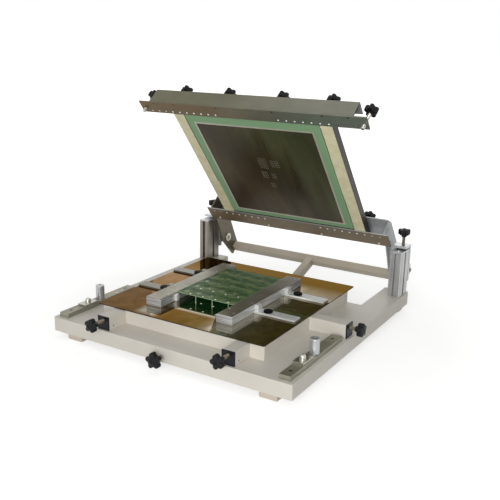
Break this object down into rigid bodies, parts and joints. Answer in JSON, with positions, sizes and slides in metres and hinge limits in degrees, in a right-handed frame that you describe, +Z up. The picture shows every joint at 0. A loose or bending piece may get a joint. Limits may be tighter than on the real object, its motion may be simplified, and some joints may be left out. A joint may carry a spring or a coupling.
{
  "type": "manual stencil printer",
  "caption": "Manual stencil printer: tray base, sliding mirror table with board rails, and a hinged holder that lowers a framed metal stencil onto a circuit board.",
  "frame": {"origin": "on the bench under the middle of the machine's whole box, with the stencil holder open", "axes": "+X to the operator's right, +Y back from the operator towards the hinge, +Z up"},
  "size_m": [0.628, 0.717, 0.5426],
  "materials": {
    "cream_paint": "satin",
    "mirror_steel": "polished",
    "foil_steel": "polished",
    "aluminium": "satin",
    "clamp_aluminium": "satin",
    "steel": "satin",
    "black_plastic": "matte",
    "foot_rubber": "matte",
    "board_laminate": "gloss",
    "mesh_polyester": "woven",
    "bronze": "satin"
  },
  "bodies": {
    "base": {"base_pan": "cream_paint", "base_feet": "foot_rubber", "left_column": "aluminium", "right_column": "aluminium", "column_caps": "aluminium", "left_stop_bar": "aluminium", "right_stop_bar": "aluminium", "stop_posts": "aluminium", "dome_nuts": "steel", "front_left_block": "cream_paint", "front_right_block": "cream_paint", "side_block": "cream_paint", "block_caps": "black_plastic", "spring_anchor": "steel", "slide_rails": "steel", "table_box": "cream_paint", "balance_spring": "steel"},
    "y_carriage": {"y_slide_plate": "aluminium"},
    "x_carriage": {"x_slide_plate": "aluminium"},
    "table": {"tool_plate": "mirror_steel", "turntable_hub": "aluminium"},
    "left_rail": {"left_board_rail": "aluminium", "left_rail_arms": "aluminium", "left_rail_magnets": "black_plastic"},
    "right_rail": {"right_board_rail": "aluminium", "right_rail_arms": "aluminium", "right_rail_magnets": "black_plastic"},
    "board": {"pcb_panel": "board_laminate"},
    "hinge_carriages": {"left_hinge_carriage": "aluminium", "right_hinge_carriage": "aluminium", "hinge_pins": "steel"},
    "lift": {"rear_clamp_channel": "clamp_aluminium", "left_end_plate": "aluminium", "right_end_plate": "aluminium", "crossbar": "cream_paint", "lever_arm": "cream_paint", "hinge_bushes": "bronze", "front_clamp_channel": "clamp_aluminium", "front_lip_bar": "clamp_aluminium", "stencil_frame": "aluminium", "stencil_mesh": "mesh_polyester", "stencil_foil": "foil_steel"},
    "left_column_screw": {"left_column_screw": "black_plastic"},
    "right_column_screw": {"right_column_screw": "black_plastic"},
    "y_adjuster": {"y_adjuster": "black_plastic"},
    "theta_adjuster": {"theta_adjuster": "black_plastic"},
    "x_adjuster": {"x_adjuster": "black_plastic"},
    "x_nut": {"x_nut": "bronze"},
    "theta_nut": {"theta_nut": "bronze"},
    "lock_knob": {"lock_knob": "black_plastic"},
    "front_clamp_left_outer": {"front_clamp_left_outer": "black_plastic"},
    "front_clamp_left_inner": {"front_clamp_left_inner": "black_plastic"},
    "front_clamp_right_inner": {"front_clamp_right_inner": "black_plastic"},
    "front_clamp_right_outer": {"front_clamp_right_outer": "black_plastic"},
    "rear_clamp_left": {"rear_clamp_left": "black_plastic"},
    "rear_clamp_right": {"rear_clamp_right": "black_plastic"},
    "left_end_screw": {"left_end_screw": "steel"},
    "right_end_screw": {"right_end_screw": "steel"},
    "left_end_knob": {"left_end_knob": "black_plastic"},
    "right_end_knob": {"right_end_knob": "black_plastic"}
  },
  "joints": [
    {"name": "hinge_height", "type": "slide", "parent": "base", "child": "hinge_carriages", "axis": [0, 0, 1], "range_m": [0, 0.008]},
    {"name": "left_column_screw_turn", "type": "hinge", "parent": "base", "child": "left_column_screw", "pos_m": [-0.296, 0.27947, 0.202], "axis": [0, 0, 1], "range_deg": [0, 2305]},
    {"name": "right_column_screw_turn", "type": "hinge", "parent": "base", "child": "right_column_screw", "pos_m": [0.268, 0.27947, 0.202], "axis": [0, 0, 1], "range_deg": [0, 2305]},
    {"name": "lift_hinge", "type": "hinge", "parent": "hinge_carriages", "child": "lift", "pos_m": [-0.014, 0.30346, 0.101], "axis": [-1, 0, 0], "range_deg": [-50.7, 14], "deforming": ["balance_spring"]},
    {"name": "y_slide", "type": "slide", "parent": "base", "child": "y_carriage", "axis": [0, 1, 0], "range_m": [-0.015, 0.005]},
    {"name": "y_adjuster_turn", "type": "hinge", "parent": "base", "child": "y_adjuster", "pos_m": [-0.172, -0.35053, 0.068], "axis": [0, 1, 0], "range_deg": [-4321, 1441]},
    {"name": "x_slide", "type": "slide", "parent": "y_carriage", "child": "x_carriage", "axis": [1, 0, 0], "range_m": [-0.003, 0.017]},
    {"name": "x_adjuster_turn", "type": "hinge", "parent": "base", "child": "x_adjuster", "pos_m": [0.306, -0.05604, 0.068], "axis": [1, 0, 0], "range_deg": [-865, 4897]},
    {"name": "x_nut_slide", "type": "slide", "parent": "base", "child": "x_nut", "axis": [1, 0, 0], "range_m": [-0.003, 0.017]},
    {"name": "table_theta", "type": "hinge", "parent": "x_carriage", "child": "table", "pos_m": [-0.021, -0.04954, 0.0775], "axis": [0, 0, 1], "range_deg": [-2, 2]},
    {"name": "theta_nut_slide", "type": "slide", "parent": "y_carriage", "child": "theta_nut", "axis": [0, 1, 0], "range_m": [-0.0056, 0.0056]},
    {"name": "theta_adjuster_turn", "type": "hinge", "parent": "base", "child": "theta_adjuster", "pos_m": [0.144, -0.35053, 0.068], "axis": [0, 1, 0], "range_deg": [-1600, 1600]},
    {"name": "left_rail_slide", "type": "slide", "parent": "table", "child": "left_rail", "axis": [-1, 0, 0], "range_m": [0, 0.03]},
    {"name": "right_rail_slide", "type": "slide", "parent": "table", "child": "right_rail", "axis": [1, 0, 0], "range_m": [0, 0.03]},
    {"name": "board_lift", "type": "slide", "parent": "left_rail", "child": "board", "axis": [0, 0, 1], "range_m": [0, 0.03]},
    {"name": "front_clamp_left_outer_turn", "type": "hinge", "parent": "lift", "child": "front_clamp_left_outer", "pos_m": [-0.204, 0.0332, 0.52592], "axis": [0, 0.7738, 0.6334], "range_deg": [0, 360]},
    {"name": "front_clamp_left_inner_turn", "type": "hinge", "parent": "lift", "child": "front_clamp_left_inner", "pos_m": [-0.083, 0.0332, 0.52592], "axis": [0, 0.7738, 0.6334], "range_deg": [0, 360]},
    {"name": "rear_clamp_left_turn", "type": "hinge", "parent": "lift", "child": "rear_clamp_left", "pos_m": [-0.204, 0.2786, 0.22926], "axis": [0, 0.7738, 0.6334], "range_deg": [0, 360]},
    {"name": "left_end_screw_slide", "type": "slide", "parent": "lift", "child": "left_end_screw", "axis": [0, -0.7738, -0.6334], "range_m": [-0.004, 0.006]},
    {"name": "left_end_knob_turn", "type": "hinge", "parent": "left_end_screw", "child": "left_end_knob", "pos_m": [-0.294, 0.02181, 0.51143], "axis": [0, -0.7738, -0.6334], "range_deg": [-1153, 1729]},
    {"name": "front_clamp_right_outer_turn", "type": "hinge", "parent": "lift", "child": "front_clamp_right_outer", "pos_m": [0.176, 0.0332, 0.52592], "axis": [0, 0.7738, 0.6334], "range_deg": [0, 360]},
    {"name": "front_clamp_right_inner_turn", "type": "hinge", "parent": "lift", "child": "front_clamp_right_inner", "pos_m": [0.055, 0.0332, 0.52592], "axis": [0, 0.7738, 0.6334], "range_deg": [0, 360]},
    {"name": "rear_clamp_right_turn", "type": "hinge", "parent": "lift", "child": "rear_clamp_right", "pos_m": [0.176, 0.2786, 0.22926], "axis": [0, 0.7738, 0.6334], "range_deg": [0, 360]},
    {"name": "right_end_screw_slide", "type": "slide", "parent": "lift", "child": "right_end_screw", "axis": [0, -0.7738, -0.6334], "range_m": [-0.004, 0.006]},
    {"name": "right_end_knob_turn", "type": "hinge", "parent": "right_end_screw", "child": "right_end_knob", "pos_m": [0.266, 0.02181, 0.51143], "axis": [0, -0.7738, -0.6334], "range_deg": [-1153, 1729]},
    {"name": "lock_knob_turn", "type": "hinge", "parent": "base", "child": "lock_knob", "pos_m": [-0.014, -0.34353, 0.027], "axis": [0, 1, 0], "range_deg": [0, 360]}
  ],
  "couplings": [
    {"joint": "left_column_screw_turn", "follows": "hinge_height", "rad_per_m": 5026.5},
    {"joint": "right_column_screw_turn", "follows": "hinge_height", "rad_per_m": 5026.5},
    {"joint": "y_adjuster_turn", "follows": "y_slide", "rad_per_m": 5026.5},
    {"joint": "x_adjuster_turn", "follows": "x_slide", "rad_per_m": 5026.5},
    {"joint": "x_nut_slide", "follows": "x_slide", "ratio": 1},
    {"joint": "theta_nut_slide", "follows": "table_theta", "m_per_rad": 0.158},
    {"joint": "theta_adjuster_turn", "follows": "table_theta", "ratio": 794.2},
    {"joint": "left_end_knob_turn", "follows": "left_end_screw_slide", "rad_per_m": 5026.5},
    {"joint": "right_end_knob_turn", "follows": "right_end_screw_slide", "rad_per_m": 5026.5}
  ]
}
